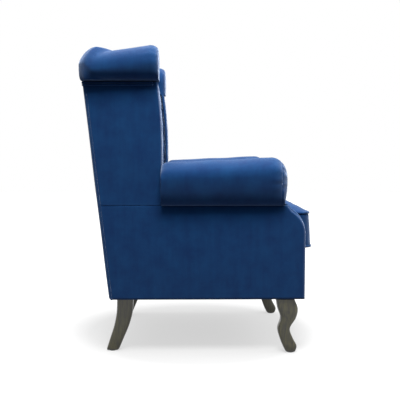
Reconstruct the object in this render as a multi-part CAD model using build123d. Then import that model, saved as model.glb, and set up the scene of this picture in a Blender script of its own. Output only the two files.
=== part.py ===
from build123d import *
import math
import os

# A deep-buttoned wing armchair with a loose seat cushion, in millimetres.
# It faces -Y, +X is the sitter's left and +Z is up. The origin is on the floor, under the middle of
# the outer box. Each side piece is made for the left and mirrored for the right.

# Outer sizes
HEIGHT = 1060.0  # floor to the top of the wing rolls
DEPTH = 805.5  # nose of the cushion to the rear of the back roll
SEAT_HALF = 252.0  # half the clear width between the inside arms
SIDE_T = 78.0  # thickness of a side, from inside arm to outer panel
ROLL_OVERHANG = 55.0  # how far the arm and wing rolls stand out over the outer panels
LEG_H = 193.0  # floor to the underside of the frame
SEAT_BOX_H = 168.0  # underside of the frame to the top of the seat platform
SIDE_H = 326.0  # underside of the frame to the seam under the arm roll

# Back line
RAKE = 6.4  # degrees that the back leans from upright
REAR_SETBACK = 93.0  # foot of the back, in front of the rearmost point of the back roll
BACK_T = 155.0  # thickness of the whole back, from outside panel to button field

# Arms
CUSHION_OVERHANG = 35.5  # nose of the cushion, in front of the seat box
SHOULDER_SETBACK = 73.0  # top of the scrolled front edge, behind the seat box front
SCROLL_FOOT_H = 229.0  # underside of the frame to the start of the scroll
SCROLL_H = 140.0  # height of the scroll
ARM_ROLL_H_REAR = 147.0
ARM_ROLL_H_FRONT = 166.0
ARM_CAP_T = 19.0  # how far the domed front facing stands out of the roll
CAP_ROUND = 16.0  # how far a domed end draws in at its rim

# Wings and back roll
WING_REACH = 492.0  # front of the wing, behind the seat box front
WING_STRAIGHT = 195.0  # straight part of the wing's front edge
WING_SETBACK = 16.0  # how far that edge curves back at the top
WING_ROLL_H_REAR = 85.0
WING_ROLL_H_FRONT = 119.0
WING_CAP_T = 21.0
BACK_ROLL_H = 110.0
BACK_ROLL_R = 60.0  # round of the back roll, from its rear to its crown
ROLL_CORNER_R = 60.0  # round of the two rear corners, seen from above

# Boards, panels and webbing
BOARD_T = 32.0
PANEL_T = 12.0  # padded outer panels
PANEL_ROUND = 5.0  # soft outer edge of those panels
FACING_T = 12.0  # padded strips on the front edges
POST_D = 50.0
WING_POST_D = 45.0
STUMP_D = 75.0
RAIL_H = 130.0
ARM_RAIL_LIFT = 45.0  # seam to the underside of the arm rail
ARM_RAIL_H = 40.0
TOP_RAIL_H = 50.0
LOWER_RAIL_H = 60.0
LOWER_RAIL_LIFT = 50.0  # seat platform to the underside of the lower back rail
BLOCK_LEG = 110.0
BLOCK_H = 70.0
WEB_T = 3.0
STRAP_W = 55.0
STRAP_LAP = 14.0
SEAT_STRAPS = 6
BACK_STRAPS = 4
DUST_T = 1.5
DUST_INSET = 6.0

# Seat cushion
CUSHION_BOX_H = 127.0  # lower welt to upper welt
CROWN_H = 40.0
CUSHION_GAP = 0.5  # under the cushion
SIDE_GAP = 3.0  # beside and behind the cushion
NOSE_LEAN = 8.0  # upper welt, behind the lower one at the front
CORNER_R = 32.0
DRAW_IN = 5.0  # how far the sides pull in between the corners
WELT_ROUND = 6.0
CROWN_STEPS = ((0.52, 18.0), (0.82, 50.0), (1.0, 110.0))  # share of the crown's height, way in from the welt

# Buttoned fields
TUFT_PITCH = 120.0  # button to button along a row
TUFT_ROWS = 5
TUFT_ROW_H = 90.0
TUFT_FOOT = 195.0  # seat platform to the lowest row, up the rake
TUFT_DEPTH = 24.0
TUFT_HALF_W = 30.0
WING_TUFT_ROWS = 3
WING_TUFT_PITCH = 95.0
WING_TUFT_DEPTH = 13.0
WING_TUFT_HALF_W = 17.0
WING_TUFT_INSET = 48.0  # wing buttons, behind the wing's front edge
PLEAT_LIFT = 3.0  # start of a pleat's round shoulder, above the face of its pad
BUTTON_R = 10.0
BUTTON_H = 9.0
BUTTON_RIM_H = 4.5
BUTTON_CAP_R = 6.5
BUTTON_CAP_H = 8.0
BUTTON_SINK = 4.0  # button seat, below the bottom of the pleats

# Legs: stations up the leg, each with the share of its height, the shift of its middle to the rear,
# its depth and its width
FRONT_LEG_IN = 40.0  # middle of the leg, inside the outer panel
FRONT_LEG_SET = 66.0  # middle of the leg's top, behind the seat box front
FRONT_LEG = (
    (0.0, -21.0, 34.0, 34.0),
    (0.10, -18.5, 48.0, 42.0),
    (0.24, -7.0, 46.0, 38.0),
    (0.43, 3.0, 43.0, 38.0),
    (0.64, -12.5, 54.0, 46.0),
    (0.80, -10.5, 70.0, 56.0),
    (1.0, 0.0, 64.0, 56.0),
)
REAR_LEG_IN = 72.0
REAR_LEG_SET = 51.0  # middle of the leg's top, in front of the foot of the back
REAR_LEG = (
    (0.0, 46.0, 44.0, 34.0),
    (0.21, 31.0, 48.0, 38.0),
    (0.48, 12.5, 53.0, 43.0),
    (0.70, 3.0, 56.0, 46.0),
    (1.0, 0.0, 58.0, 48.0),
)
LEG_EDGE_R = 9.0
BOLT_R = 4.0
BOLT_HALF_L = 30.0
BOLT_INSET = 13.0  # front bolts, inside the side rails
GLIDE_R = 12.0
GLIDE_H = 3.0

# Places worked out from the sizes
NOSE_Y = -DEPTH / 2
REAR_Y = DEPTH / 2
FRONT_Y = NOSE_Y + CUSHION_OVERHANG
REAR_FOOT_Y = REAR_Y - REAR_SETBACK
SLOPE = math.tan(math.radians(RAKE))
SIDE_OUT = SEAT_HALF + SIDE_T
ROLL_OUT = SIDE_OUT + ROLL_OVERHANG
BOARD_OUT = SIDE_OUT - PANEL_T
BOARD_IN = BOARD_OUT - BOARD_T
POST_INSET = PANEL_T + POST_D
PAD_INSET = POST_INSET + WEB_T
DECK_Z = LEG_H + SEAT_BOX_H
SEAM_Z = LEG_H + SIDE_H
ROLL_Z = HEIGHT - WING_ROLL_H_FRONT
RAIL_Z = LEG_H + RAIL_H
ARM_RAIL_Z = SEAM_Z + ARM_RAIL_LIFT
ARM_RAIL_TOP = ARM_RAIL_Z + ARM_RAIL_H
SCROLL_FOOT_Z = LEG_H + SCROLL_FOOT_H
SHOULDER_Y = FRONT_Y + SHOULDER_SETBACK
WING_Y = FRONT_Y + WING_REACH
WING_TOP_Y = WING_Y + WING_SETBACK
ARM_CAP_Y = SHOULDER_Y + FACING_T
WING_CAP_Y = WING_TOP_Y + FACING_T
FAR = 2 * DEPTH


def rear_y(z, inset):
    """The raked line of the outside back at height z, moved forwards by the inset."""
    return REAR_FOOT_Y + SLOPE * (z - LEG_H) - inset


def block(x0, x1, y0, y1, z0, z1):
    """A box between two corners."""
    return Pos(x0, y0, z0) * Box(x1 - x0, y1 - y0, z1 - z0, align=Align.MIN)


def level(z0, z1):
    """Everything between two heights."""
    return block(-FAR, FAR, -FAR, FAR, z0, z1)


def side_board(outline, x0, x1):
    """A side view, drawn as Y and Z, made as thick as the span of X."""
    return extrude(Plane.YZ.offset(x0) * outline, amount=x1 - x0)


def rake_band(front_inset, rear_inset, x0, x1, z0, z1):
    """A board that follows the rake between two insets from the outside back."""
    outline = Polygon(
        (rear_y(z0, front_inset), z0),
        (rear_y(z0, rear_inset), z0),
        (rear_y(z1, rear_inset), z1),
        (rear_y(z1, front_inset), z1),
        align=None,
    )
    return side_board(outline, x0, x1)


def arm_outline(inset, rear_inset):
    """Side view of the arm: straight at the foot, scrolled back to the shoulder, raked at the rear."""
    foot = Vector(FRONT_Y + inset, SCROLL_FOOT_Z)
    shoulder = Vector(SHOULDER_Y + inset, SCROLL_FOOT_Z + SCROLL_H)
    middle = (foot + shoulder) / 2
    lower = TangentArc(foot, middle, tangent=(0, 1))
    upper = TangentArc(middle, shoulder, tangent=lower % 1)
    rest = Polyline(
        shoulder,
        (shoulder.X, ROLL_Z),
        (rear_y(ROLL_Z, rear_inset), ROLL_Z),
        (rear_y(LEG_H, rear_inset), LEG_H),
        (foot.X, LEG_H),
        foot,
    )
    return make_face(lower + upper + rest)


def wing_outline(inset, rear_inset):
    """Side view of the wing: its front edge is straight, then curves back to the roll."""
    bend = (WING_Y + inset, SEAM_Z + WING_STRAIGHT)
    top = (WING_TOP_Y + inset, ROLL_Z)
    curve = TangentArc(bend, top, tangent=(0, 1))
    rest = Polyline(
        top,
        (rear_y(ROLL_Z, rear_inset), ROLL_Z),
        (rear_y(SEAM_Z, rear_inset), SEAM_Z),
        (WING_Y + inset, SEAM_Z),
        bend,
    )
    return make_face(curve + rest)


def roll_section(inner, side, outer, under, top, crown_r):
    """Section of a scroll roll: flat inside and below, round above, drawn in to the panel outside."""
    crown = (outer - crown_r, top)
    outside_z = top - crown_r
    inside_z = top - (outer - inner) / 2
    outside = TangentArc((outer, outside_z), (side, under), tangent=(0, -1))
    crown_out = TangentArc((outer, outside_z), crown, tangent=(0, 1))
    crown_in = TangentArc(crown, (inner, inside_z), tangent=(-1, 0))
    rest = Polyline((inner, inside_z), (inner, under), (side, under))
    return make_face(outside + crown_out + crown_in + rest)


def side_roll_section(under, roll_h, draw_in):
    """Section of an arm or wing roll, drawn in all round by the given amount."""
    inner = SEAT_HALF + draw_in
    outer = ROLL_OUT - draw_in
    top = under + roll_h - draw_in
    return roll_section(inner, SIDE_OUT - draw_in, outer, under + draw_in, top, (outer - inner) / 2)


def padded_panel(outline, z0, z1):
    """An outer side panel between two heights, with its padded outer edge rounded."""
    panel = side_board(outline, BOARD_OUT, SIDE_OUT) & level(z0, z1)
    outside = panel.faces().sort_by(Axis.X)[-1]
    return fillet(outside.edges(), PANEL_ROUND)


def across(y):
    """The upright plane that faces the front at y, drawn as X and Z."""
    return Plane.XZ.offset(-y)


def domed_end(under, roll_h, y, thickness):
    """Sections of a roll's rounded front end, from its full size at y to its drawn-in face."""
    shoulder = thickness * math.sin(math.pi / 4)
    draw_in = CAP_ROUND * (1 - math.cos(math.pi / 4))
    return [
        across(y) * side_roll_section(under, roll_h, 0.0),
        across(y - shoulder) * side_roll_section(under, roll_h, draw_in),
        across(y - thickness) * side_roll_section(under, roll_h, CAP_ROUND),
    ]


def pleat(plane, start, end, depth, half_w, run_on):
    """The cutter of a sewn pleat between two points of a pad's face: two round shoulders and a cusp."""
    a = Vector(*start)
    b = Vector(*end)
    along = (b - a).normalized()
    a = a - along * run_on
    b = b + along * run_on
    way = plane.from_local_coords(b) - plane.from_local_coords(a)
    beside = plane.z_dir.cross(way)
    section_plane = Plane(plane.from_local_coords(a), x_dir=beside, z_dir=way)
    near = TangentArc((-half_w, PLEAT_LIFT), (0, -depth), tangent=(1, 0))
    far = TangentArc((half_w, PLEAT_LIFT), (0, -depth), tangent=(-1, 0))
    section = make_face(near + far + Line((-half_w, PLEAT_LIFT), (half_w, PLEAT_LIFT)))
    return extrude(section_plane * section, amount=way.length)


def button_pocket(plane, spot, depth):
    """The round hole that a button is pulled into."""
    place = plane * Pos(spot[0], spot[1], -depth - BUTTON_SINK)
    return place * Cylinder(BUTTON_R, 2 * depth + BUTTON_SINK, align=(Align.CENTER, Align.CENTER, Align.MIN))


def button(plane, spot, depth):
    """A covered button: a short drum with a coned cap."""
    place = plane * Pos(spot[0], spot[1], -depth - BUTTON_SINK)
    profile = Polygon(
        (0, 0),
        (BUTTON_R, 0),
        (BUTTON_R, BUTTON_RIM_H),
        (BUTTON_CAP_R, BUTTON_CAP_H),
        (0, BUTTON_H),
        align=None,
    )
    return place * revolve(Plane.XZ * profile, Axis.Z)


def sawn(plane, near, far):
    """A thick board sawn along two curves, which run from the foot to the top of a leg."""
    ends = Line(near[0], far[0]) + Line(near[-1], far[-1])
    outline = make_face(Spline(*near) + Spline(*far) + ends)
    return extrude(plane.offset(-FAR) * outline, amount=2 * FAR)


def leg(stations, x, y):
    """A curved leg: sawn to its side view, sawn again to its front view, and its long edges rounded."""
    heights = [GLIDE_H + share * (LEG_H - GLIDE_H) for share, _, _, _ in stations]
    front, rear, right, left_edge = [], [], [], []
    for z, (_, shift, depth, width) in zip(heights, stations):
        front.append((y + shift - depth / 2, z))
        rear.append((y + shift + depth / 2, z))
        right.append((x - width / 2, z))
        left_edge.append((x + width / 2, z))
    billet = sawn(Plane.YZ, front, rear) & sawn(Plane.XZ, right, left_edge)
    long_edges = [edge for edge in billet.edges() if edge.length > (LEG_H - GLIDE_H) / 2]
    return fillet(long_edges, LEG_EDGE_R)


def glide(stations, x, y):
    """The plastic glide nailed under a leg."""
    place = Pos(x, y + stations[0][1], 0)
    return place * Cylinder(GLIDE_R, GLIDE_H, align=(Align.CENTER, Align.CENTER, Align.MIN))


def leg_bolt(x, y):
    """The hanger bolt between a leg and the frame."""
    return Pos(x, y, LEG_H) * Cylinder(BOLT_R, 2 * BOLT_HALF_L)


def both_sides(piece):
    """A left piece and its mirror image."""
    return [piece, mirror(piece, about=Plane.YZ)]


left = {}
whole = {}

# Frame boards of one side
arm_boards = side_board(arm_outline(FACING_T, POST_INSET), BOARD_IN, BOARD_OUT)
left["seat_rail"] = arm_boards & level(LEG_H, RAIL_Z)
stump_zone = block(0, FAR, -FAR, SHOULDER_Y + STUMP_D, RAIL_Z, ARM_RAIL_Z)
before_roll = block(0, FAR, -FAR, ARM_CAP_Y, SEAM_Z, ROLL_Z)
left["arm_stump"] = (arm_boards & stump_zone) - before_roll
left["arm_rail"] = (arm_boards & level(ARM_RAIL_Z, ARM_RAIL_TOP)) - before_roll
left["back_post"] = rake_band(POST_INSET, PANEL_T, BOARD_IN, BOARD_OUT, LEG_H, ROLL_Z + TOP_RAIL_H)
wing_boards = side_board(wing_outline(FACING_T, POST_INSET), BOARD_IN, BOARD_OUT)
behind_post = side_board(wing_outline(FACING_T + WING_POST_D, POST_INSET), BOARD_IN, BOARD_OUT)
left["wing_post"] = (wing_boards - behind_post) & level(ARM_RAIL_TOP, ROLL_Z)
wing_rail_outline = Polygon(
    (WING_CAP_Y, ROLL_Z),
    (rear_y(ROLL_Z, POST_INSET), ROLL_Z),
    (rear_y(ROLL_Z + TOP_RAIL_H, POST_INSET), ROLL_Z + TOP_RAIL_H),
    (WING_CAP_Y, ROLL_Z + TOP_RAIL_H),
    align=None,
)
left["wing_rail"] = side_board(wing_rail_outline, BOARD_IN, BOARD_OUT)

# Rails between the sides
rail_back_y = FRONT_Y + FACING_T + BOARD_T
whole["front_seat_rail"] = block(-BOARD_IN, BOARD_IN, FRONT_Y + FACING_T, rail_back_y, LEG_H, RAIL_Z)
rear_rail = rake_band(POST_INSET, PANEL_T, -BOARD_IN, BOARD_IN, LEG_H, RAIL_Z)
lower_rail_z = DECK_Z + LOWER_RAIL_LIFT
whole["back_lower_rail"] = rake_band(
    PAD_INSET, PANEL_T, -BOARD_IN, BOARD_IN, lower_rail_z, lower_rail_z + LOWER_RAIL_H
)
whole["back_top_rail"] = rake_band(POST_INSET, PANEL_T, -BOARD_IN, BOARD_IN, ROLL_Z, ROLL_Z + TOP_RAIL_H)

# Legs, their bolts and glides
front_leg_x = SIDE_OUT - FRONT_LEG_IN
rear_leg_x = SIDE_OUT - REAR_LEG_IN
front_leg_y = FRONT_Y + FRONT_LEG_SET
rear_leg_y = REAR_FOOT_Y - REAR_LEG_SET
front_bolt = leg_bolt(BOARD_IN - BOLT_INSET, front_leg_y)
rear_bolt = leg_bolt(rear_leg_x, rear_y(LEG_H, PANEL_T + POST_D / 2))
left["front_leg"] = leg(FRONT_LEG, front_leg_x, front_leg_y) - front_bolt
left["rear_leg"] = leg(REAR_LEG, rear_leg_x, rear_leg_y) - rear_bolt
bolts = both_sides(front_bolt) + both_sides(rear_bolt)
glides = both_sides(glide(FRONT_LEG, front_leg_x, front_leg_y))
glides += both_sides(glide(REAR_LEG, rear_leg_x, rear_leg_y))
whole["leg_bolts"] = Compound(bolts)
whole["foot_glides"] = Compound(glides)
whole["rear_seat_rail"] = rear_rail - bolts

# Corner blocks, glued and screwed inside the seat frame
front_corner = Polygon(
    (BOARD_IN, rail_back_y),
    (BOARD_IN, rail_back_y + BLOCK_LEG),
    (BOARD_IN - BLOCK_LEG, rail_back_y),
    align=None,
)
rear_corner_y = rear_y(LEG_H + BLOCK_H, POST_INSET)
rear_corner = Polygon(
    (BOARD_IN, rear_corner_y),
    (BOARD_IN - BLOCK_LEG, rear_corner_y),
    (BOARD_IN, rear_corner_y - BLOCK_LEG),
    align=None,
)
front_block = extrude(Plane.XY.offset(LEG_H) * front_corner, amount=BLOCK_H) - front_bolt
rear_block = extrude(Plane.XY.offset(LEG_H) * rear_corner, amount=BLOCK_H) - rear_rail - left["back_post"]
whole["seat_corner_blocks"] = Compound(both_sides(front_block.solid()) + both_sides(rear_block.solid()))

# Webbing of the seat and the back
seat_pitch = 2 * SEAT_HALF / SEAT_STRAPS
seat_straps = []
for strap in range(SEAT_STRAPS):
    middle = (strap + 0.5) * seat_pitch - SEAT_HALF
    seat_straps.append(
        block(
            middle - STRAP_W / 2,
            middle + STRAP_W / 2,
            rail_back_y - BOARD_T / 2,
            rear_y(RAIL_Z, POST_INSET - STRAP_LAP),
            RAIL_Z,
            RAIL_Z + WEB_T,
        )
    )
whole["seat_webbing"] = Compound(seat_straps)
back_pitch = (ROLL_Z - ARM_RAIL_TOP) / BACK_STRAPS
back_straps = []
for strap in range(BACK_STRAPS):
    middle = ARM_RAIL_TOP + (strap + 0.5) * back_pitch
    back_straps.append(
        rake_band(
            PAD_INSET,
            POST_INSET,
            -BOARD_IN - STRAP_LAP,
            BOARD_IN + STRAP_LAP,
            middle - STRAP_W / 2,
            middle + STRAP_W / 2,
        )
    )
whole["back_webbing"] = Compound(back_straps)

# Padded seat platform under the cushion
deck_z = RAIL_Z + WEB_T
deck_outline = Polygon(
    (FRONT_Y + FACING_T, deck_z),
    (rear_y(deck_z, POST_INSET), deck_z),
    (rear_y(DECK_Z, POST_INSET), DECK_Z),
    (FRONT_Y + FACING_T, DECK_Z),
    align=None,
)
whole["seat_platform"] = side_board(deck_outline, -SEAT_HALF, SEAT_HALF)

# Deep-buttoned inside back
rake_angle = math.radians(RAKE)
field_plane = Plane(
    (0, rear_y(DECK_Z, BACK_T), DECK_Z),
    x_dir=(1, 0, 0),
    z_dir=(0, -math.cos(rake_angle), math.sin(rake_angle)),
)
half_pitch = TUFT_PITCH / 2
columns = int(SEAT_HALF // half_pitch)
spots = []
for row in range(TUFT_ROWS):
    for column in range(-columns, columns + 1):
        if (row + column) % 2 == 1 and abs(column * half_pitch) + BUTTON_R < SEAT_HALF - half_pitch / 2:
            spots.append((column * half_pitch, TUFT_FOOT + row * TUFT_ROW_H))
diagonals = []
for lean in (-1, 1):
    for start in range(-columns - TUFT_ROWS, columns + TUFT_ROWS + 1):
        if start % 2 == 1:
            crossings = []
            for row in range(TUFT_ROWS):
                x = (start + lean * row) * half_pitch
                if abs(x) <= SEAT_HALF:
                    crossings.append((x, TUFT_FOOT + row * TUFT_ROW_H))
            if len(crossings) > 1:
                diagonals.append(
                    pleat(field_plane, crossings[0], crossings[-1], TUFT_DEPTH, TUFT_HALF_W, BUTTON_R)
                )
field_top = (ROLL_Z - DECK_Z) / math.cos(rake_angle)
top_row = TUFT_FOOT + (TUFT_ROWS - 1) * TUFT_ROW_H
uprights = []
for x, y in spots:
    if y == TUFT_FOOT:
        uprights.append(pleat(field_plane, (x, 0), (x, y), TUFT_DEPTH, TUFT_HALF_W, BUTTON_R))
    if y == top_row:
        uprights.append(pleat(field_plane, (x, y), (x, field_top), TUFT_DEPTH, TUFT_HALF_W, BUTTON_R))
pockets = [button_pocket(field_plane, spot, TUFT_DEPTH) for spot in spots]
back_blank = rake_band(BACK_T, PAD_INSET, -SEAT_HALF, SEAT_HALF, DECK_Z, ROLL_Z)
whole["back_pad"] = back_blank - diagonals - uprights - pockets
whole["back_buttons"] = Compound([button(field_plane, spot, TUFT_DEPTH) for spot in spots])

# Inside arm and buttoned inside wing
left["arm_pad"] = side_board(arm_outline(FACING_T, PAD_INSET), SEAT_HALF, BOARD_IN) & level(RAIL_Z, SEAM_Z)
wing_middle_z = (SEAM_Z + ARM_ROLL_H_REAR + ROLL_Z) / 2
wing_plane = Plane(
    (SEAT_HALF, WING_Y + WING_TUFT_INSET, wing_middle_z),
    x_dir=(0, -1, 0),
    z_dir=(-1, 0, 0),
)
wing_spots = []
wing_cutters = []
for row in range(WING_TUFT_ROWS):
    y = (row - (WING_TUFT_ROWS - 1) / 2) * WING_TUFT_PITCH
    wing_spots.append((0, y))
    wing_cutters.append(button_pocket(wing_plane, (0, y), WING_TUFT_DEPTH))
    for lean in (-1, 1):
        reach = WING_TUFT_PITCH / 2
        wing_cutters.append(
            pleat(
                wing_plane,
                (-reach, y - lean * reach),
                (reach, y + lean * reach),
                WING_TUFT_DEPTH,
                WING_TUFT_HALF_W,
                BUTTON_R,
            )
        )
wing_blank = side_board(wing_outline(FACING_T, PAD_INSET), SEAT_HALF, BOARD_IN)
left["wing_pad"] = wing_blank - wing_cutters
left["wing_buttons"] = Compound([button(wing_plane, spot, WING_TUFT_DEPTH) for spot in wing_spots])

# Rolled arm and its domed front facing
arm_slot = block(BOARD_IN, BOARD_OUT, -FAR, FAR, SEAM_Z, ARM_RAIL_TOP)
arm_ends = [
    across(WING_Y) * side_roll_section(SEAM_Z, ARM_ROLL_H_REAR, 0.0),
    across(ARM_CAP_Y) * side_roll_section(SEAM_Z, ARM_ROLL_H_FRONT, 0.0),
]
left["arm_roll"] = loft(arm_ends, ruled=True) - arm_slot
left["arm_facing"] = loft(domed_end(SEAM_Z, ARM_ROLL_H_FRONT, ARM_CAP_Y, ARM_CAP_T), ruled=True)

# Back roll and wing rolls, mitred where they meet
roll_front_y = rear_y(ROLL_Z, BACK_T)
mitre_run = Vector(ROLL_OUT - SEAT_HALF, REAR_Y - roll_front_y) * 2
mitre_zone = Polygon(
    (SEAT_HALF, roll_front_y),
    (SEAT_HALF + mitre_run.X, roll_front_y + mitre_run.Y),
    (-SEAT_HALF - mitre_run.X, roll_front_y + mitre_run.Y),
    (-SEAT_HALF, roll_front_y),
    align=None,
)
behind_mitre = extrude(Plane.XY * mitre_zone, amount=FAR)
back_section = roll_section(
    roll_front_y, rear_y(ROLL_Z, 0), REAR_Y, ROLL_Z, ROLL_Z + BACK_ROLL_H, BACK_ROLL_R
)
top_slot = rake_band(POST_INSET, PANEL_T, -BOARD_OUT, BOARD_OUT, ROLL_Z, ROLL_Z + TOP_RAIL_H)
roll_space = block(-ROLL_OUT, ROLL_OUT, -FAR, REAR_Y, 0, FAR)
rear_corners = roll_space.edges().filter_by(Axis.Z).group_by(Axis.Y)[-1]
roll_space = fillet(rear_corners, ROLL_CORNER_R)
back_roll = side_board(back_section, -ROLL_OUT, ROLL_OUT) & behind_mitre & roll_space
whole["back_roll"] = back_roll - top_slot - both_sides(left["wing_rail"])
wing_sections = [across(REAR_Y) * side_roll_section(ROLL_Z, WING_ROLL_H_REAR, 0.0)]
wing_sections += domed_end(ROLL_Z, WING_ROLL_H_FRONT, WING_CAP_Y, WING_CAP_T)
wing_roll = (loft(wing_sections, ruled=True) - behind_mitre) & roll_space
left["wing_roll"] = wing_roll - left["wing_rail"] - left["back_post"]

# Outer panels and front edges
left["side_panel"] = padded_panel(arm_outline(0, 0), LEG_H, SEAM_Z)
left["wing_panel"] = padded_panel(wing_outline(0, 0), SEAM_Z, ROLL_Z)
whole["outside_back_panel"] = rake_band(PANEL_T, 0, -BOARD_OUT, BOARD_OUT, LEG_H, ROLL_Z)
arm_edge = side_board(arm_outline(0, 0) - arm_outline(FACING_T, 0), SEAT_HALF, BOARD_OUT)
left["front_facing"] = arm_edge & level(LEG_H, SEAM_Z)
wing_edge = side_board(wing_outline(0, 0) - wing_outline(FACING_T, 0), SEAT_HALF, BOARD_OUT)
left["wing_facing"] = wing_edge - left["arm_rail"]
whole["front_border"] = block(-SEAT_HALF, SEAT_HALF, FRONT_Y, FRONT_Y + FACING_T, LEG_H, DECK_Z)

# Dust cover, tacked under the frame and cut out round the legs
dust = block(
    -BOARD_OUT + DUST_INSET,
    BOARD_OUT - DUST_INSET,
    FRONT_Y + FACING_T + DUST_INSET,
    rear_y(LEG_H, PANEL_T + DUST_INSET),
    LEG_H - DUST_T,
    LEG_H,
)
whole["dust_cover"] = dust - both_sides(left["front_leg"]) - both_sides(left["rear_leg"]) - bolts

# Loose seat cushion
cushion_z = DECK_Z + CUSHION_GAP
cushion_rear_y = rear_y(DECK_Z, BACK_T) - SIDE_GAP
cushion_half = SEAT_HALF - SIDE_GAP


def cushion_outline(z, inset, lean):
    """Plan of the cushion: four sides that bow inwards, joined by round corners."""
    w = cushion_half - inset
    front = NOSE_Y + inset + lean
    rear = cushion_rear_y - inset
    bow = DRAW_IN
    r = CORNER_R
    k = r * (1 - math.cos(math.pi / 4))
    edges = Curve() + [
        ThreePointArc((-w + r, front), (0, front + bow), (w - r, front)),
        ThreePointArc((w - r, front), (w - k, front + k), (w, front + r)),
        ThreePointArc((w, front + r), (w - bow, (front + rear) / 2), (w, rear - r)),
        ThreePointArc((w, rear - r), (w - k, rear - k), (w - r, rear)),
        ThreePointArc((w - r, rear), (0, rear - bow), (-w + r, rear)),
        ThreePointArc((-w + r, rear), (-w + k, rear - k), (-w, rear - r)),
        ThreePointArc((-w, rear - r), (-w + bow, (front + rear) / 2), (-w, front + r)),
        ThreePointArc((-w, front + r), (-w + k, front + k), (-w + r, front)),
    ]
    return Plane.XY.offset(z) * make_face(edges)


welt_z = cushion_z + CUSHION_BOX_H
boxing = loft(
    [
        cushion_outline(cushion_z, WELT_ROUND, 0),
        cushion_outline(cushion_z + WELT_ROUND, 0, 0),
        cushion_outline(welt_z - WELT_ROUND, 0, NOSE_LEAN),
        cushion_outline(welt_z, WELT_ROUND, NOSE_LEAN),
    ],
    ruled=True,
)
crown_outlines = [cushion_outline(welt_z, WELT_ROUND, NOSE_LEAN)]
for share, inset in CROWN_STEPS:
    crown_outlines.append(cushion_outline(welt_z + share * CROWN_H, WELT_ROUND + inset, NOSE_LEAN))
crown = loft(crown_outlines)
whole["seat_cushion"] = boxing + crown

# One file for each piece
os.makedirs("parts", exist_ok=True)
for name, piece in whole.items():
    export_step(piece, f"parts/{name}.step")
for name, piece in left.items():
    export_step(piece, f"parts/left_{name}.step")
    export_step(mirror(piece, about=Plane.YZ), f"parts/right_{name}.step")
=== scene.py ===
import bmesh
import bpy
import mathutils
import numpy as np
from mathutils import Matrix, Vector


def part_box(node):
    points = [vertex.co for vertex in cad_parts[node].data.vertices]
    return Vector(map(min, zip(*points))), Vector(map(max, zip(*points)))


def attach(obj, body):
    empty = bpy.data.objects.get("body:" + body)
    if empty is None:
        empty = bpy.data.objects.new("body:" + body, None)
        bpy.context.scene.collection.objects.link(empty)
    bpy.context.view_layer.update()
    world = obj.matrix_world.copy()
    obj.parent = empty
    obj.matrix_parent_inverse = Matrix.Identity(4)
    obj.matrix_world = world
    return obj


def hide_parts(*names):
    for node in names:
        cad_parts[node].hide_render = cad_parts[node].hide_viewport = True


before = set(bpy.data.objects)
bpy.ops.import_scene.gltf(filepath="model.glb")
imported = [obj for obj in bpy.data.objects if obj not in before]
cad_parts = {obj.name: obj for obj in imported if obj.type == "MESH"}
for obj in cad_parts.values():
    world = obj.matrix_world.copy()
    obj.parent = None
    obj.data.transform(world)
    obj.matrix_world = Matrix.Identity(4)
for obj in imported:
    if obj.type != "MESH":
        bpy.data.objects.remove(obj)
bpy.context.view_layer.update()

# Frame boards: planed beech planks, glued and screwed into the seat box, the arms, the back and the wings.
# They are out of sight under the covers, and carry everything else.


def linear(colour):
    """An sRGB hex colour as linear red, green, blue and alpha: each channel through the sRGB curve."""
    channel = np.array([int(colour[i:i + 2], 16) for i in (1, 3, 5)]) / 255
    curved = np.where(channel <= 0.04045, channel / 12.92, ((channel + 0.055) / 1.055) ** 2.4)
    return (*curved.tolist(), 1.0)


def add_node(tree, kind, inputs, **settings):
    """Adds a node with its settings, and gives each named input a value or a link."""
    node = tree.nodes.new(kind)
    for key, value in settings.items():
        setattr(node, key, value)
    for key, value in inputs.items():
        if isinstance(value, bpy.types.NodeSocket):
            tree.links.new(value, node.inputs[key])
        else:
            node.inputs[key].default_value = value
    return node


def new_finish(name, roughness, **sockets):
    """A new material and its tree, shader and Object coordinates, with the constant sockets set."""
    finish = bpy.data.materials.new(name)
    finish.use_nodes = True
    tree = finish.node_tree
    shader = tree.nodes["Principled BSDF"]
    shader.inputs["Roughness"].default_value = roughness
    for key, value in sockets.items():
        shader.inputs[key.replace("_", " ")].default_value = value
    place = add_node(tree, "ShaderNodeTexCoord", {}).outputs["Object"]
    return finish, tree, shader, place


def two_tones(tree, shader, amount, low, high):
    """Drives the base colour from an amount: one hex tone up to 0.3, the other from 0.7, a blend between."""
    ramp = add_node(tree, "ShaderNodeValToRGB", {"Fac": amount})
    for stop, position, tone in zip(ramp.color_ramp.elements, (0.3, 0.7), (low, high)):
        stop.position = position
        stop.color = linear(tone)
    tree.links.new(ramp.outputs["Color"], shader.inputs["Base Color"])


def raise_grain(tree, shader, amount, depth):
    """Lets an amount stand out of the surface by a depth in metres."""
    bump = add_node(tree, "ShaderNodeBump", {"Height": amount, "Strength": 1.0, "Distance": depth})
    tree.links.new(bump.outputs["Normal"], shader.inputs["Normal"])


def dress(piece, finish, slot, body, *nodes):
    """Gives a piece its finish; the slot is not used. The CAD nodes it stands for, if any, are hidden, and a
    new piece is attached to the body it moves with, which a CAD node has already."""
    piece.data.materials.clear()
    piece.data.materials.append(finish)
    if nodes:
        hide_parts(*nodes)
    if piece.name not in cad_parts:
        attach(piece, body)


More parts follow.
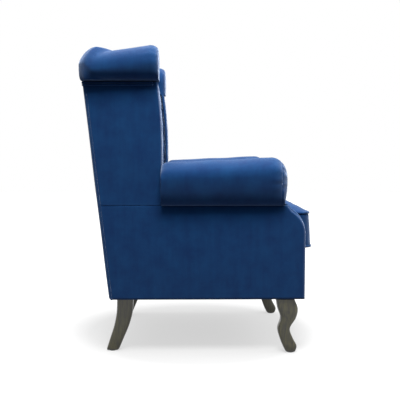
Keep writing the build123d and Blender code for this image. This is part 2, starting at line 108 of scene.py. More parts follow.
# Beech: pale, with flecked grain about 3 mm wide that runs ten times as long.
fleck_w, fleck_l = 0.00333, 0.0333
beech, tree, shader, place = new_finish("planed_beech", roughness=0.6)
stretch = (1 / fleck_l, 1 / fleck_l, 1 / fleck_w)
grain = add_node(tree, "ShaderNodeMapping", {"Vector": place, "Scale": stretch})
fleck = add_node(tree, "ShaderNodeTexNoise", {"Vector": grain.outputs["Vector"], "Scale": 1.0, "Detail": 4.0})
two_tones(tree, shader, fleck.outputs["Fac"], "#b98f5d", "#d2ab79")
raise_grain(tree, shader, fleck.outputs["Fac"], depth=0.0002)
boards = ["front_seat_rail", "rear_seat_rail", "back_lower_rail", "back_top_rail", "seat_corner_blocks"]
for board in ("seat_rail", "arm_stump", "arm_rail", "back_post", "wing_post", "wing_rail"):
    boards += ["left_" + board, "right_" + board]
for board in boards:
    dress(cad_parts[board], beech, "frame_wood", "chair")

# Webbing: jute straps, stretched and tacked over the seat rails and the back posts. They carry the padding.
# Jute: a coarse plain weave in two shades of straw, drawn 6 mm wide so that it shows. A wave of the texture
# takes a tenth of pi over its scale.
thread_w = 0.00604
wave_scale = np.pi / (20 * thread_w)
jute, tree, shader, place = new_finish("jute_webbing", roughness=0.9)
warp = add_node(tree, "ShaderNodeTexWave", {"Vector": place, "Scale": wave_scale}, bands_direction="X")
weft = add_node(tree, "ShaderNodeTexWave", {"Vector": place, "Scale": wave_scale}, bands_direction="Y")
crossing = {0: warp.outputs["Fac"], 1: weft.outputs["Fac"]}
weave = add_node(tree, "ShaderNodeMath", crossing, operation="MULTIPLY")
two_tones(tree, shader, weave.outputs[0], "#8b7147", "#b99b68")
raise_grain(tree, shader, weave.outputs[0], depth=0.0008)
for straps in ("seat_webbing", "back_webbing"):
    dress(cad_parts[straps], jute, "webbing", "chair")

# Leg bolts and glides: zinc-plated steel hanger bolts join the legs to the frame, and a round nylon glide is
# nailed under each foot.
# Zinc: a cool grey metal with faint clouding from the plating bath, about 8 mm wide.
cloud_w = 0.008
zinc, tree, shader, place = new_finish("zinc_plated_steel", roughness=0.35, Metallic=1.0)
cloud = add_node(tree, "ShaderNodeTexNoise", {"Vector": place, "Scale": 1 / cloud_w, "Detail": 2.0})
two_tones(tree, shader, cloud.outputs["Fac"], "#a7a9ab", "#c6c8c9")
dress(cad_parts["leg_bolts"], zinc, "bolt_steel", "chair")
# Nylon: dark, moulded, with fine mould grain about 1 mm wide.
grit_w = 0.00111
nylon, tree, shader, place = new_finish("moulded_nylon", roughness=0.5)
grit = add_node(tree, "ShaderNodeTexNoise", {"Vector": place, "Scale": 1 / grit_w, "Detail": 2.0})
two_tones(tree, shader, grit.outputs["Fac"], "#17171a", "#232327")
dress(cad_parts["foot_glides"], nylon, "glide_plastic", "chair")

# Legs: sawn from beech, shaped and rounded by hand, stained dark and varnished, and bolted under the frame.
# The front pair is S-shaped with a knee and a toe, and the rear pair sweeps back.


def piece_of(name, *grids):
    """Joins grids of points (rows, columns, xyz) into one mesh: each cell of a grid is a face, borders that
    meet are welded, and the faces are turned outwards."""
    points, cells, start = [], [], 0
    for grid in grids:
        rows, columns = grid.shape[:2]
        index = start + np.arange(rows * columns).reshape(rows, columns)
        corners = [index[:-1, :-1], index[1:, :-1], index[1:, 1:], index[:-1, 1:]]
        cells.append(np.stack(corners, axis=-1).reshape(-1, 4))
        points.append(grid.reshape(-1, 3))
        start += rows * columns
    mesh = bpy.data.meshes.new(name)
    mesh.from_pydata(np.concatenate(points).tolist(), [], np.concatenate(cells).tolist())
    shell = bmesh.new()
    shell.from_mesh(mesh)
    bmesh.ops.remove_doubles(shell, verts=shell.verts, dist=2e-6)
    bmesh.ops.recalc_face_normals(shell, faces=shell.faces)
    shell.to_mesh(mesh)
    shell.free()
    mesh.shade_smooth()
    made = bpy.data.objects.new(name, mesh)
    bpy.context.collection.objects.link(made)
    return made


def grid_of(x, y, z):
    """A grid of points from their three coordinates, each of them an array or one value for all."""
    return np.stack(np.broadcast_arrays(x, y, z), axis=-1)


def closed_to(first, grid, last):
    """A grid whose first and last rows are closed, each by one more row with all its points at one place."""
    ends = [np.broadcast_to(point, grid[0].shape)[None] for point in (first, last)]
    return np.concatenate([ends[0], grid, ends[1]])


def through(stations, t):
    """A smooth curve through stations: between two of them a cubic that keeps their values and slopes."""
    at, value = stations[:, 0], stations[:, 1:]
    slope = np.gradient(value, at, axis=0)
    i = np.clip(np.searchsorted(at, t, side="right") - 1, 0, len(at) - 2)
    step = (at[i + 1] - at[i])[:, None]
    s = (t - at[i])[:, None] / step
    return (
        (2 * s**3 - 3 * s**2 + 1) * value[i]
        + (s**3 - 2 * s**2 + s) * step * slope[i]
        + (3 * s**2 - 2 * s**3) * value[i + 1]
        + (s**3 - s**2) * step * slope[i + 1]
    )


def shaped_leg(stations, x, y, foot, top):
    """A leg: rounded squares, a superellipse of power 4.5, whose middle, depth and width follow the stations
    (share of the height, shift to the rear, depth, width). The lowest 2 percent draw in by a tenth, and both
    ends are closed to their middle."""
    power, eased, eased_by = 4.5, 0.02, 0.1
    share = np.linspace(0, 1, 60)
    shift, depth, width = through(stations, share).T[:, :, None]
    turn = np.linspace(0, 2 * np.pi, 57)
    across = np.sign(np.cos(turn)) * np.abs(np.cos(turn)) ** (2 / power)
    along = np.sign(np.sin(turn)) * np.abs(np.sin(turn)) ** (2 / power)
    soft = np.minimum(1, 1 - eased_by + share / eased * eased_by)[:, None]
    height = (foot + share * (top - foot))[:, None]
    skin = grid_of(x + soft * width / 2 * across, y + shift + soft * depth / 2 * along, height)
    return closed_to(skin[0].mean(axis=0), skin, skin[-1].mean(axis=0))


front_stations = np.array([
    (0.0, -0.0210, 0.0340, 0.034),
    (0.10, -0.0185, 0.0480, 0.042),
    (0.24, -0.0070, 0.0460, 0.038),
    (0.43, 0.0030, 0.0430, 0.038),
    (0.64, -0.0125, 0.0540, 0.046),
    (0.80, -0.0105, 0.0700, 0.056),
    (1.0, 0.0, 0.0640, 0.056),
])
rear_stations = np.array([
    (0.0, 0.0460, 0.0440, 0.034),
    (0.21, 0.0310, 0.0480, 0.038),
    (0.48, 0.0125, 0.0530, 0.043),
    (0.70, 0.0030, 0.0560, 0.046),
    (1.0, 0.0, 0.0580, 0.048),
])
# Stained beech: a grey-brown stain that takes darker in the grain lines, about 4 mm apart and 45 mm long,
# under a satin varnish.
line_w, line_l = 0.004, 0.04545
stained, tree, shader, place = new_finish(
    "stained_beech", roughness=0.36, Coat_Weight=0.25, Coat_Roughness=0.3
)
stretch = (1 / line_w, 1 / line_w, 1 / line_l)
grain = add_node(tree, "ShaderNodeMapping", {"Vector": place, "Scale": stretch})
lines = add_node(tree, "ShaderNodeTexNoise", {"Vector": grain.outputs["Vector"], "Scale": 1.0, "Detail": 5.0})
two_tones(tree, shader, lines.outputs["Fac"], "#0d0c06", "#403c20")
raise_grain(tree, shader, lines.outputs["Fac"], depth=0.0002)
# The front legs stand back from the front of the seat, and the rear ones forward of the foot of the back, the
# outer side of its 12 mm of padding.
leg_low, leg_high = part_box("left_front_leg")
pad_t = 0.012
seat_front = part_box("front_border")[0][1]
back_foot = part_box("outside_back_panel")[0][1] + pad_t
front_leg_x, front_leg_set = 0.290, 0.066
rear_leg_x, rear_leg_set = 0.258, 0.051
leg_places = (
    ("front", front_stations, front_leg_x, seat_front + front_leg_set),
    ("rear", rear_stations, rear_leg_x, back_foot - rear_leg_set),
)
for side, sign in (("left", 1), ("right", -1)):
    for end, stations, x, y in leg_places:
        skin = shaped_leg(stations, sign * x, y, leg_low[2], leg_high[2])
        leg = piece_of(f"{side}_{end}_shaped_leg", skin)
        dress(leg, stained, "leg_wood", "chair", f"{side}_{end}_leg")

# Dust cover: a sheet of black spun-bonded cloth, stapled under the seat frame, that closes it from below.
# It hangs a few millimetres in the middle.


def swollen(u, v):
    """A swelling from 0 at the four edges to 1 in the middle: half a sine wave each way."""
    return np.sin(np.pi * u) * np.sin(np.pi * v)


cover_low, cover_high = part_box("dust_cover")
cover_hang, cover_t = 0.004, 0.0008
u, v = np.meshgrid(np.linspace(0, 1, 60), np.linspace(0, 1, 60), indexing="ij")
cover_x = cover_low[0] + u * (cover_high[0] - cover_low[0])
cover_y = cover_low[1] + v * (cover_high[1] - cover_low[1])
cover_z = cover_low[2] - cover_hang * swollen(u, v)
under = grid_of(cover_x, cover_y, cover_z)
over = grid_of(cover_x, cover_y, cover_z + cover_t)
edges = [np.stack([under[s], over[s]]) for s in (np.s_[0], np.s_[-1], np.s_[:, 0], np.s_[:, -1])]
dust_cover = piece_of("dust_cover_cloth", under, over, *edges)
# Spun-bonded cloth: matt black with a fine blotched web, about 3 mm wide.
web_w = 0.00303
web_cloth, tree, shader, place = new_finish("spun_bonded_cloth", roughness=0.9)
web = add_node(tree, "ShaderNodeTexNoise", {"Vector": place, "Scale": 1 / web_w, "Detail": 3.0})
two_tones(tree, shader, web.outputs["Fac"], "#121214", "#1f1f22")
dress(dust_cover, web_cloth, "dust_cloth", "chair", "dust_cover")

# Seat platform: the padded deck under the loose cushion, covered in the same velvet and sewn to the border.
# It rests on the seat webbing.


def crowded(n):
    """Values from 0 to 1 that crowd both ends, by a half turn of a cosine, so that rolled edges come out
    fine."""
    return (1 - np.cos(np.linspace(0, np.pi, n))) / 2


def rolled(distance, radius):
    """Share of a pad's full height at a distance from its seam: a quarter circle, then level."""
    t = np.clip(distance / radius, 0, 1)
    return np.sqrt(1 - (1 - t) ** 2)


def rolled_sides(u, size, radius):
    """Share of a pad's full height at a share u of its size, with both sides rolled."""
    return rolled(size * np.minimum(u, 1 - u), radius)


def slack(p, q, size):
    """A field of soft creases, mostly from -1 to 1: the sum of seven waves across p and q, about the given
    size long, whose directions turn by the golden angle."""
    field = 0
    for k in range(7):
        turn = 2.39996 * k
        wave = 2 * np.pi / (size * (0.7 + 0.13 * k))
        field = field + np.sin(wave * (p * np.cos(turn) + q * np.sin(turn)) + 1.7 * k)
    return field / 4


# Cotton velvet: a short dense pile, dyed navy. It scatters light at glancing angles, so rounded edges shine
# pale blue. The pile lies in patches about 55 mm wide and in upright streaks about 12 mm wide, and its tufts
# are drawn 1.4 mm wide so that they show.
patch_w, streak_w, streak_l, tuft_w = 0.05556, 0.0125, 0.14286, 0.0014286
velvet, tree, shader, place = new_finish(
    "cotton_velvet",
    roughness=0.8,
    Specular_IOR_Level=0.0,
    Sheen_Weight=0.45,
    Sheen_Roughness=0.48,
    Sheen_Tint=linear("#d4e4ff"),
)
blotches = {"Vector": place, "Scale": 1 / patch_w, "Detail": 4.0, "Roughness": 0.6}
patches = add_node(tree, "ShaderNodeTexNoise", blotches)
stretch = (1 / streak_w, 1 / streak_w, 1 / streak_l)
strokes = add_node(tree, "ShaderNodeMapping", {"Vector": place, "Scale": stretch}).outputs["Vector"]
streaks = add_node(tree, "ShaderNodeTexNoise", {"Vector": strokes, "Scale": 1.0, "Detail": 3.0})
mixing = {0: 0.25, 2: patches.outputs["Fac"], 3: streaks.outputs["Fac"]}
brushed = add_node(tree, "ShaderNodeMix", mixing, data_type="FLOAT")
two_tones(tree, shader, brushed.outputs[0], "#06254e", "#0c345c")
pile = add_node(tree, "ShaderNodeTexNoise", {"Vector": place, "Scale": 1 / tuft_w, "Detail": 2.0})
raise_grain(tree, shader, pile.outputs["Fac"], depth=0.0005)

deck_low, deck_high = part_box("seat_platform")
deck_w, deck_d, deck_edge, deck_dip, deck_crease = 0.504, 0.6, 0.02, 0.0012, 0.16
u, v = np.meshgrid(crowded(70), crowded(80), indexing="ij")
deck_x = deck_low[0] + u * (deck_high[0] - deck_low[0])
deck_y = deck_low[1] + v * (deck_high[1] - pad_t - deck_low[1])
edge = rolled_sides(u, deck_w, deck_edge) * rolled_sides(v, deck_d, deck_edge)
dip = deck_dip * (1 + slack(deck_x, deck_y, deck_crease))
deck_z = deck_low[2] + (deck_high[2] - deck_low[2] - dip) * edge
platform = piece_of(
    "seat_platform_pad", grid_of(deck_x, deck_y, deck_z), grid_of(deck_x, deck_y, deck_low[2])
)
dress(platform, velvet, "velvet", "chair", "seat_platform")

# Front border: the padded strip of velvet between the arms, pulled tight over the front seat rail.
# It is sewn to the platform above and tacked under the rail.
border_low, border_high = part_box("front_border")
border_w, border_h, border_side, border_edge = 0.504, 0.168, 0.012, 0.010
border_swell, border_slack, border_crease = 0.004, 0.0008, 0.11
u, v = np.meshgrid(crowded(120), crowded(50), indexing="ij")
border_x = border_low[0] + u * (border_high[0] - border_low[0])
border_z = border_low[2] + v * (border_high[2] - border_low[2])
edge = rolled_sides(u, border_w, border_side) * rolled_sides(v, border_h, border_edge)
swell = border_swell * swollen(u, v) + border_slack * slack(border_x, border_z, border_crease)
border_y = border_high[1] - (pad_t + swell) * edge
border = piece_of(
    "front_border_pad", grid_of(border_x, border_y, border_z), grid_of(border_x, border_high[1], border_z)
)
dress(border, velvet, "velvet", "chair", "front_border")

# Arms: a roll of padding along the top of each arm. One piece of velvet goes from the seam under the roll,
# over it and down the inside to the seat, and is gathered round the front and against the wing.


def arm_front(z):
    """Y of the arm's front edge at height z: upright, then two equal arcs that lean back to the shoulder."""
    low, high, reach, half = 0.422, 0.562, 0.073, 0.070
    radius = (half**2 + (reach / 2) ** 2) / reach
    lower = radius - np.sqrt(radius**2 - np.clip(z - low, 0, half) ** 2)
    upper = reach - radius + np.sqrt(radius**2 - np.clip(high - z, 0, half) ** 2)
    return seat_front + np.where(z < (low + high) / 2, lower, upper)


def uneven(along, pitch):
    """A wave from -1 to 1 along a seam, at a pitch that grows and shrinks by a second, longer wave."""
    return np.sin(2 * np.pi * along / pitch + 1.3 * np.sin(2 * np.pi * along / (3.1 * pitch)))


def gathers(along, distance, reach, pitch):
    """Folds that run away from a gathered seam: uneven waves along it, that die out over the reach."""
    return uneven(along, pitch) * np.exp(-((distance / reach) ** 2))


def smooth(t):
    """An S-shaped step from 0 to 1: three t squared less two t cubed."""
    t = np.clip(t, 0, 1)
    return t * t * (3 - 2 * t)


seam_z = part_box("left_side_panel")[1][2]
roll_in, roll_out, panel_out = 0.252, 0.385, 0.330
arm_seam, arm_nose, wing_y = seat_front + 0.088, seat_front + 0.065, seat_front + 0.492
front_h, rear_h = 0.166, 0.147
pad_foot, pad_back, seam_tuck = 0.332, 0.286, 0.300
roll_half = (roll_out - roll_in) / 2
roll_middle = roll_in + roll_half
upright_h = front_h - roll_half
# The profile of the cover: up the inside, over the roll, down to the seam and back inside the arm.
inside_z = np.linspace(pad_foot, seam_z + upright_h, 60)[:-1]
turn = np.linspace(0, np.pi, 60)
tuck = np.linspace(0, np.pi / 2, 34)[1:]
profile_x = np.concatenate([
    np.full(len(inside_z), roll_in),
    roll_middle - roll_half * np.cos(turn),
    roll_out - (roll_out - panel_out) * (1 - np.cos(tuck)),
    [seam_tuck, pad_back, pad_back, roll_in],
])
profile_z = np.concatenate([
    inside_z,
    seam_z + upright_h + roll_half * np.sin(turn),
    seam_z + upright_h * (1 - np.sin(tuck)),
    [seam_z, seam_z, pad_foot, pad_foot],
])
length = np.concatenate([[0], np.cumsum(np.hypot(np.diff(profile_x), np.diff(profile_z)))])
number = np.arange(len(profile_x))
shown = number < len(inside_z) + len(turn) + len(tuck)
inner = (number < len(inside_z)) | ~shown
# Below the seam the inside runs on behind the wing, and its front stays behind the facing strip.
under_wing, against_wing, behind_strip, near_seam = 0.100, 0.003, 0.010, 0.004
strip_y = np.minimum(arm_seam, arm_front(profile_z) + behind_strip)
front_y = np.where(profile_z > seam_z - near_seam / 2, arm_seam, strip_y)
below = inner & (profile_z < seam_z + near_seam)
rear_y = wing_y + np.where(below, under_wing, against_wing)
t = crowded(110)[:, None]
cover_y = rear_y + t * (front_y - rear_y)
rise = 1 + (rear_h / front_h - 1) * np.clip((cover_y - front_y) / (rear_y - front_y), 0, 1)
cover_z = np.where(profile_z > seam_z, seam_z + (profile_z - seam_z) * rise, profile_z)
# The roll draws in towards its rounded front by a quarter ellipse 60 mm high and 55 mm long, and by 1.5 mm at
# the seam there. Against the wing only its top draws in, by 16 mm. There are slight folds at both ends.
nose_h, nose_l, dip_h, dip_l, top_h, top_l = 0.060, 0.055, 0.0015, 0.003, 0.016, 0.024
edge_h, edge_l, front_fold, wing_fold, fold_l, fold_pitch = 0.0008, 0.0012, 0.0008, 0.0012, 0.030, 0.041
front_fold_at, wing_fold_at, roll_slack, roll_crease = 0.006, 0.012, 0.0012, 0.13
roll_core, draw_h, top_from, top_over = seam_z + 0.085, 0.06, 0.105, 0.05
to_front, to_wing = cover_y - front_y, rear_y - cover_y
on_top = smooth((profile_z - seam_z - top_from) / top_over)
shrink = nose_h * (1 - rolled(cover_y - arm_nose, nose_l)) + dip_h * (1 - rolled(to_front, dip_l))
shrink = shrink + top_h * (1 - rolled(to_wing, top_l)) * on_top + edge_h * (1 - rolled(to_wing, edge_l))
shrink = shrink - front_fold * gathers(length, to_front - front_fold_at, fold_l, fold_pitch)
shrink = shrink - wing_fold * gathers(length, to_wing - wing_fold_at, fold_l, fold_pitch) * on_top
shrink = shrink - roll_slack * slack(length, cover_y, roll_crease)
above = np.clip((profile_z - seam_z) / draw_h, 0, 1)
scale = 1 - above * shown * shrink / roll_half
arm_cover = grid_of(
    roll_middle + (profile_x - roll_middle) * scale, cover_y, roll_core + (cover_z - roll_core) * scale
)
close_x, close_z, close_in = 0.29, 0.52, 0.004
arm_cover = closed_to((close_x, wing_y, close_z), arm_cover, (close_x, arm_seam + close_in, close_z))

# The facing closes the roll's front: it carries on the same ellipse from the seam to a nearly flat middle. At
# the foot it reaches out to the strip below.
over_seam = np.flatnonzero(shown & (profile_z >= seam_z))
rim = np.append(over_seam, over_seam[0])
facing_x, facing_z = profile_x[rim], profile_z[rim]
seam_ring, foot_out, foot_forward, facing_girth = 0.80, 0.25, 0.009, 0.48
facing_dip, facing_fold, facing_fold_at, facing_fold_l, flat_rim = 0.002, 0.0010, 0.005, 0.020, 0.001
facing_t, facing_crown = 0.004, 0.006
ring = seam_ring * np.sin(np.linspace(0, np.pi / 2, 34))[:, None]
outwards = (ring / seam_ring) ** 4
to_seam = (seam_ring - ring) * roll_half
foot = 1 - np.clip((facing_z - seam_z) / draw_h, 0, 1)
reach = ring * (1 + foot_out * foot)
drawn = np.clip((1 - ring) * roll_half / nose_h, 0, 1)
around = np.linspace(0, facing_girth, len(facing_x))
fold = facing_fold * gathers(around, to_seam - facing_fold_at, facing_fold_l, fold_pitch)
hollow = nose_l * (1 - rolled(drawn, 1)) + facing_dip * (1 - rolled(to_seam, dip_l))
hollow = hollow + fold * (to_seam > flat_rim * roll_half) - foot_forward * foot * outwards
facing = grid_of(
    roll_middle + (facing_x - roll_middle) * reach,
    arm_nose + hollow,
    roll_core + (facing_z - roll_core) * reach,
)
facing_back = facing.copy()
facing_back[..., 1] = arm_seam + facing_t + facing_crown * (1 - outwards)
facing_back[-1] = facing[-1]
sides = (("left", np.array([1, 1, 1])), ("right", np.array([-1, 1, 1])))
for side, flip in sides:
    arm = piece_of(f"{side}_arm_cover", arm_cover * flip)
    dress(arm, velvet, "velvet", "chair", f"{side}_arm_roll", f"{side}_arm_pad")
    arm_facing = piece_of(f"{side}_arm_facing_pad", facing * flip, facing_back * flip)
    dress(arm_facing, velvet, "velvet", "chair", f"{side}_arm_facing")

# Inside back: deep-buttoned over thick padding. Velvet is folded into pleats from button to button in
# diamonds, and in upright pleats from the outer rows down to the seat and up to the roll.
rake, frame_z, back_t = np.radians(6.4), 0.193, 0.155
roll_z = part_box("left_wing_panel")[1][2]


def outside_y(z):
    """Y of the outside back at height z, up the rake."""
    return back_foot + np.tan(rake) * (z - frame_z)


def pillows(p, q):
    """Height of a buttoned field from 0 to 1: p and q count the pleats of the two slants, which are sharp
    where either is whole. Between them a round pillow stands up, and a pleat rises from the buttons to 0.30
    halfway between them."""
    a, b = np.abs(np.sin(np.pi * p)), np.abs(np.sin(np.pi * q))
    pillow = np.sqrt((1 - (1 - a) ** 2) * (1 - (1 - b) ** 2))
    return pillow + (1 - pillow) * 0.30 * np.maximum(a, b) ** 1.4


field_z = 0.361
field_foot = np.array([0.0, outside_y(field_z) - back_t, field_z])
field_across = np.array([1.0, 0.0, 0.0])
field_up = np.array([0.0, np.sin(rake), np.cos(rake)])
field_out = np.array([0.0, -np.cos(rake), np.sin(rake)])
half_pitch, row_h, first_row, rows_of_buttons = 0.060, 0.090, 0.195, 5
field_half, field_h, field_depth, field_back = 0.257, (roll_z - field_z) / np.cos(rake), 0.028, 0.086
field_edge, field_slack, field_crease = 0.030, 0.0008, 0.07
last_row = first_row + row_h * (rows_of_buttons - 1)
u, v = np.meshgrid(crowded(190), np.linspace(0, 1, 210), indexing="ij")
field_x = field_half * (2 * u - 1)
field_t = field_h * v
row = (np.clip(field_t, first_row, last_row) - first_row) / row_h
column = field_x / half_pitch
height = pillows((column + row + 1) / 2, (column - row + 1) / 2)
# Past the outer rows the upright pleats fade over 120 mm, to 0.62 of the way to an even height.
fade_l, fade_to, fade_share = 0.12, 0.82, 0.62
beyond = np.clip(np.maximum(first_row - field_t, field_t - last_row) / fade_l, 0, 1)
height = height + (fade_to - height) * fade_share * beyond**0.8
edge = rolled_sides(u, 2 * field_half, field_edge)
height = (height + field_slack / field_depth * slack(field_x, field_t, field_crease)) * edge


def on_border(u, v):
    """True at the border of a grid of shares, where a pad goes back to the frame and closes on itself."""
    return (np.minimum(u, 1 - u) == 0) | (np.minimum(v, 1 - v) == 0)


stand = np.where(on_border(u, v), -field_back, field_depth * (height - 1))
field = field_foot + field_x[..., None] * field_across + field_t[..., None] * field_up
field_face = field + stand[..., None] * field_out
inside_back = piece_of("inside_back_pad", field_face, field - field_back * field_out)
dress(inside_back, velvet, "velvet", "chair", "back_pad")


def covered_button(middle, across, up, out):
    """A button: a dome 21 mm wide and 9.5 mm high, with a rim that turns under."""
    radius = 0.0105
    ring = np.array([0.0, 0.25, 0.5, 0.7, 0.85, 0.95, 1.0, 0.96, 0.8, 0.0])[:, None, None]
    lift = np.array([9.5, 9.3, 8.5, 7.2, 5.5, 3.8, 2.0, 0.4, 0.0, 0.0])[:, None, None] / 1000
    turn = np.linspace(0, 2 * np.pi, 21)[None, :, None]
    return middle + radius * ring * (np.cos(turn) * across + np.sin(turn) * up) + lift * out


buttons, button_sunk = [], 0.026
for k in range(rows_of_buttons):
    for j in range(-3, 4):
        if (k + j) % 2:
            spot = field_foot + j * half_pitch * field_across + (first_row + k * row_h) * field_up
            buttons.append(covered_button(spot - button_sunk * field_out, field_across, field_up, field_out))
back_buttons = piece_of("back_covered_buttons", *buttons)
dress(back_buttons, velvet, "velvet", "chair", "back_buttons")

# Inside wings: thinner pads on the inner face of each wing, tacked to the wing post and pulled in with three
# buttons and slanting pleats.
wing_upright, wing_lean = 0.195, 0.016
wing_pitch, wing_depth, wing_proud, wing_margin, wing_edge_r = 0.095, 0.016, 0.002, 0.010, 0.022
wing_rear_y, wing_back_x, wing_button_sunk = 0.305, 0.284, 0.003
wing_button_y, wing_button_z = wing_y + 0.048, (seam_z + 0.155 + roll_z) / 2


def wing_edge(z):
    """Y of the wing's front edge at height z: upright, then an arc that leans back 16 mm at the roll."""
    bend_h = roll_z - seam_z - wing_upright
    radius = (bend_h**2 + wing_lean**2) / (2 * wing_lean)
    return wing_y + radius - np.sqrt(radius**2 - np.clip(z - seam_z - wing_upright, 0, bend_h) ** 2)


u, v = np.meshgrid(crowded(70), np.linspace(0, 1, 150), indexing="ij")
wing_z = seam_z + v * (roll_z - seam_z)
wing_front_y = wing_edge(wing_z) + wing_margin
wing_face_y = wing_front_y + u * (wing_rear_y - wing_front_y)
slant_y, slant_z = (wing_face_y - wing_button_y) / wing_pitch, (wing_z - wing_button_z) / wing_pitch
height = pillows(slant_z + slant_y, slant_z - slant_y)
# From a little below the lowest button the pleats fade over 50 mm to an even height.
fade_from, fade_l, fade_to = 1.45, 0.05, 0.85
low = np.clip((wing_button_z - fade_from * wing_pitch - wing_z) / fade_l, 0, 1)
height = height + (fade_to - height) * low
edge = rolled(wing_face_y - wing_front_y, wing_edge_r)
wing_x = roll_in - wing_proud + wing_depth * (1 - height * edge)
wing_face = grid_of(np.where(on_border(u, v), wing_back_x, wing_x), wing_face_y, wing_z)
wing_rear = grid_of(wing_back_x, wing_face_y, wing_z)
button_x = roll_in + wing_depth - wing_button_sunk
wing_buttons = [
    covered_button(
        np.array([button_x, wing_button_y, wing_button_z + k * wing_pitch]),
        across=np.array([0, 1.0, 0]),
        up=np.array([0, 0, 1.0]),
        out=np.array([-1.0, 0, 0]),
    )
    for k in (-1, 0, 1)
]
for side, flip in sides:
    wing = piece_of(f"{side}_inside_wing_pad", wing_face * flip, wing_rear * flip)
    dress(wing, velvet, "velvet", "chair", f"{side}_wing_pad")
    studs = piece_of(f"{side}_wing_covered_buttons", *[stud * flip for stud in wing_buttons])
    dress(studs, velvet, "velvet", "chair", f"{side}_wing_buttons")

# Wing and back rolls: thick rolls of padding round the top, mitred at the two corners, where the cover is
# sewn in a short blended corner. The wing rolls rise to the front and end in a gathered dome.


def roll_profile(inner, crown, top, outer, foot, cut):
    """Section of a roll from its inner foot, up, over and down to its outer foot, and closed below: an
    upright and three quarter ellipses, of which the outer upper one is flattened to a slant by the power cut.
    It gives the share of the way across and the height."""
    q = np.linspace(0, np.pi / 2, 30)[None, :]
    lift = np.linspace(0, 1, 12)[None, :-1]
    p = q[:, 1:]
    share = [0 * lift * inner, crown * (1 - np.cos(q)), crown + (1 - crown) * np.sin(p) ** cut]
    share += [1 - (1 - foot) * (1 - np.cos(p)), 0 * inner]
    z = [lift * inner, inner + (top - inner) * np.sin(q), outer + (top - outer) * np.cos(p) ** cut]
    z += [outer * (1 - np.sin(p)), 0 * inner]
    return np.concatenate(share, axis=1), np.concatenate(z, axis=1)


def mixed(first, second, share):
    """A blend of two values: the first at share 0, the second at 1."""
    return first * (1 - share) + second * share


dome_y, back_in, back_out = wing_y + 0.038, outside_y(roll_z) - back_t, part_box("back_roll")[1][1]
wing_front_h, wing_drop = 0.119, 0.026
mitre_at, blend_l, corner_out = 0.55, 0.042, 0.060
along = crowded(90)[:, None]
to_mitre = (1 - along) * (back_in + mitre_at * (back_out - back_in) - dome_y)
blend = smooth(1 - to_mitre / blend_l)
# The section goes over from the wing roll's round one to the back roll's, which is 112 mm high.
wing_h = wing_front_h - wing_drop * along
share, lift = roll_profile(
    inner=mixed(wing_h - roll_half, 0.032, blend),
    crown=mixed(0.5, 0.71, blend),
    top=mixed(wing_h, 0.112, blend),
    outer=mixed(wing_h - roll_half, 0.052, blend),
    foot=mixed(0.5865, 0.96, blend),
    cut=1 + 0.42 * blend,
)
mitre_y = back_in + share * (back_out - back_in)
roll_x = roll_in + share * (roll_out - roll_in)
roll_y = dome_y + along * (mitre_y - dome_y)
# Seen from above, the corner is rounded by up to 60 mm at the outside: each line turns half of its arc before
# the mitre and half after it.
corner_r = corner_out * share + 1e-6
swing = np.pi / 4 * np.clip(1 - (mitre_y - roll_y) / corner_r, 0, 1)
round_x = roll_x - corner_r * (1 - np.cos(swing))
round_y = np.where(swing > 0, mitre_y - corner_r * (1 - np.sin(swing)), roll_y)
skin = grid_of(round_x, round_y, roll_z + lift)
# At the mitre the cover is drawn in by a hundredth of its distance from the core. It is gathered at the dome
# and slightly creased.
mitre_fold, mitre_l, dome_fold, dome_fold_at, dome_fold_l = 0.010, 0.007, 0.006, 0.004, 0.026
cover_slack, cover_crease, ease_l, cover_girth = 0.010, 0.12, 0.02, 0.42
core_x, core_y, core_z = 0.3185, back_in + 0.085, roll_z + 0.055
girth = np.linspace(0, cover_girth, share.shape[1])
fold = -mitre_fold * np.exp(-((mitre_y - roll_y) / mitre_l) ** 2)
fold = fold + dome_fold * gathers(girth, roll_y - dome_y - dome_fold_at, dome_fold_l, fold_pitch)
fold = (fold + cover_slack * slack(girth, roll_y, cover_crease)) * smooth(lift / ease_l)
skin[..., 0] += (skin[..., 0] - core_x) * fold
skin[..., 2] += (skin[..., 2] - core_z) * fold
# The dome: the front section drawn in by a quarter turn, then closed over a slightly swollen face.
dome_l, dome_in, dome_crown, dome_crimp = 0.028, 0.30, 0.002, 0.014
bend = np.linspace(0, np.pi / 2, 22)[1:, None]
close = np.linspace(1, 0, 22)[1:, None]
size = np.concatenate([1 - dome_in * (1 - np.cos(bend)), (1 - dome_in) * close])
size_low = np.concatenate([1 + 0 * bend, close])
forward = np.concatenate([dome_l * np.sin(bend), dome_l + dome_crown * (1 - close**2)])
crimped = size * (1 + dome_crimp * uneven(girth, fold_pitch) * np.sin(np.pi * size) ** 2)
rim_x, rim_y, rim_z = skin[0].T
dome = grid_of(
    core_x + (rim_x - core_x) * crimped,
    rim_y - forward,
    core_z + (rim_z - core_z) * np.where(rim_z < core_z, size_low, crimped),
)
mitre_middle = np.array([0.318, core_y, roll_z + 0.05])
wing_roll = np.concatenate([dome[::-1], skin, np.broadcast_to(mitre_middle, skin[0].shape)[None]])
for side, flip in sides:
    roll = piece_of(f"{side}_wing_roll_cover", wing_roll * flip)
    dress(roll, velvet, "velvet", "chair", f"{side}_wing_roll")
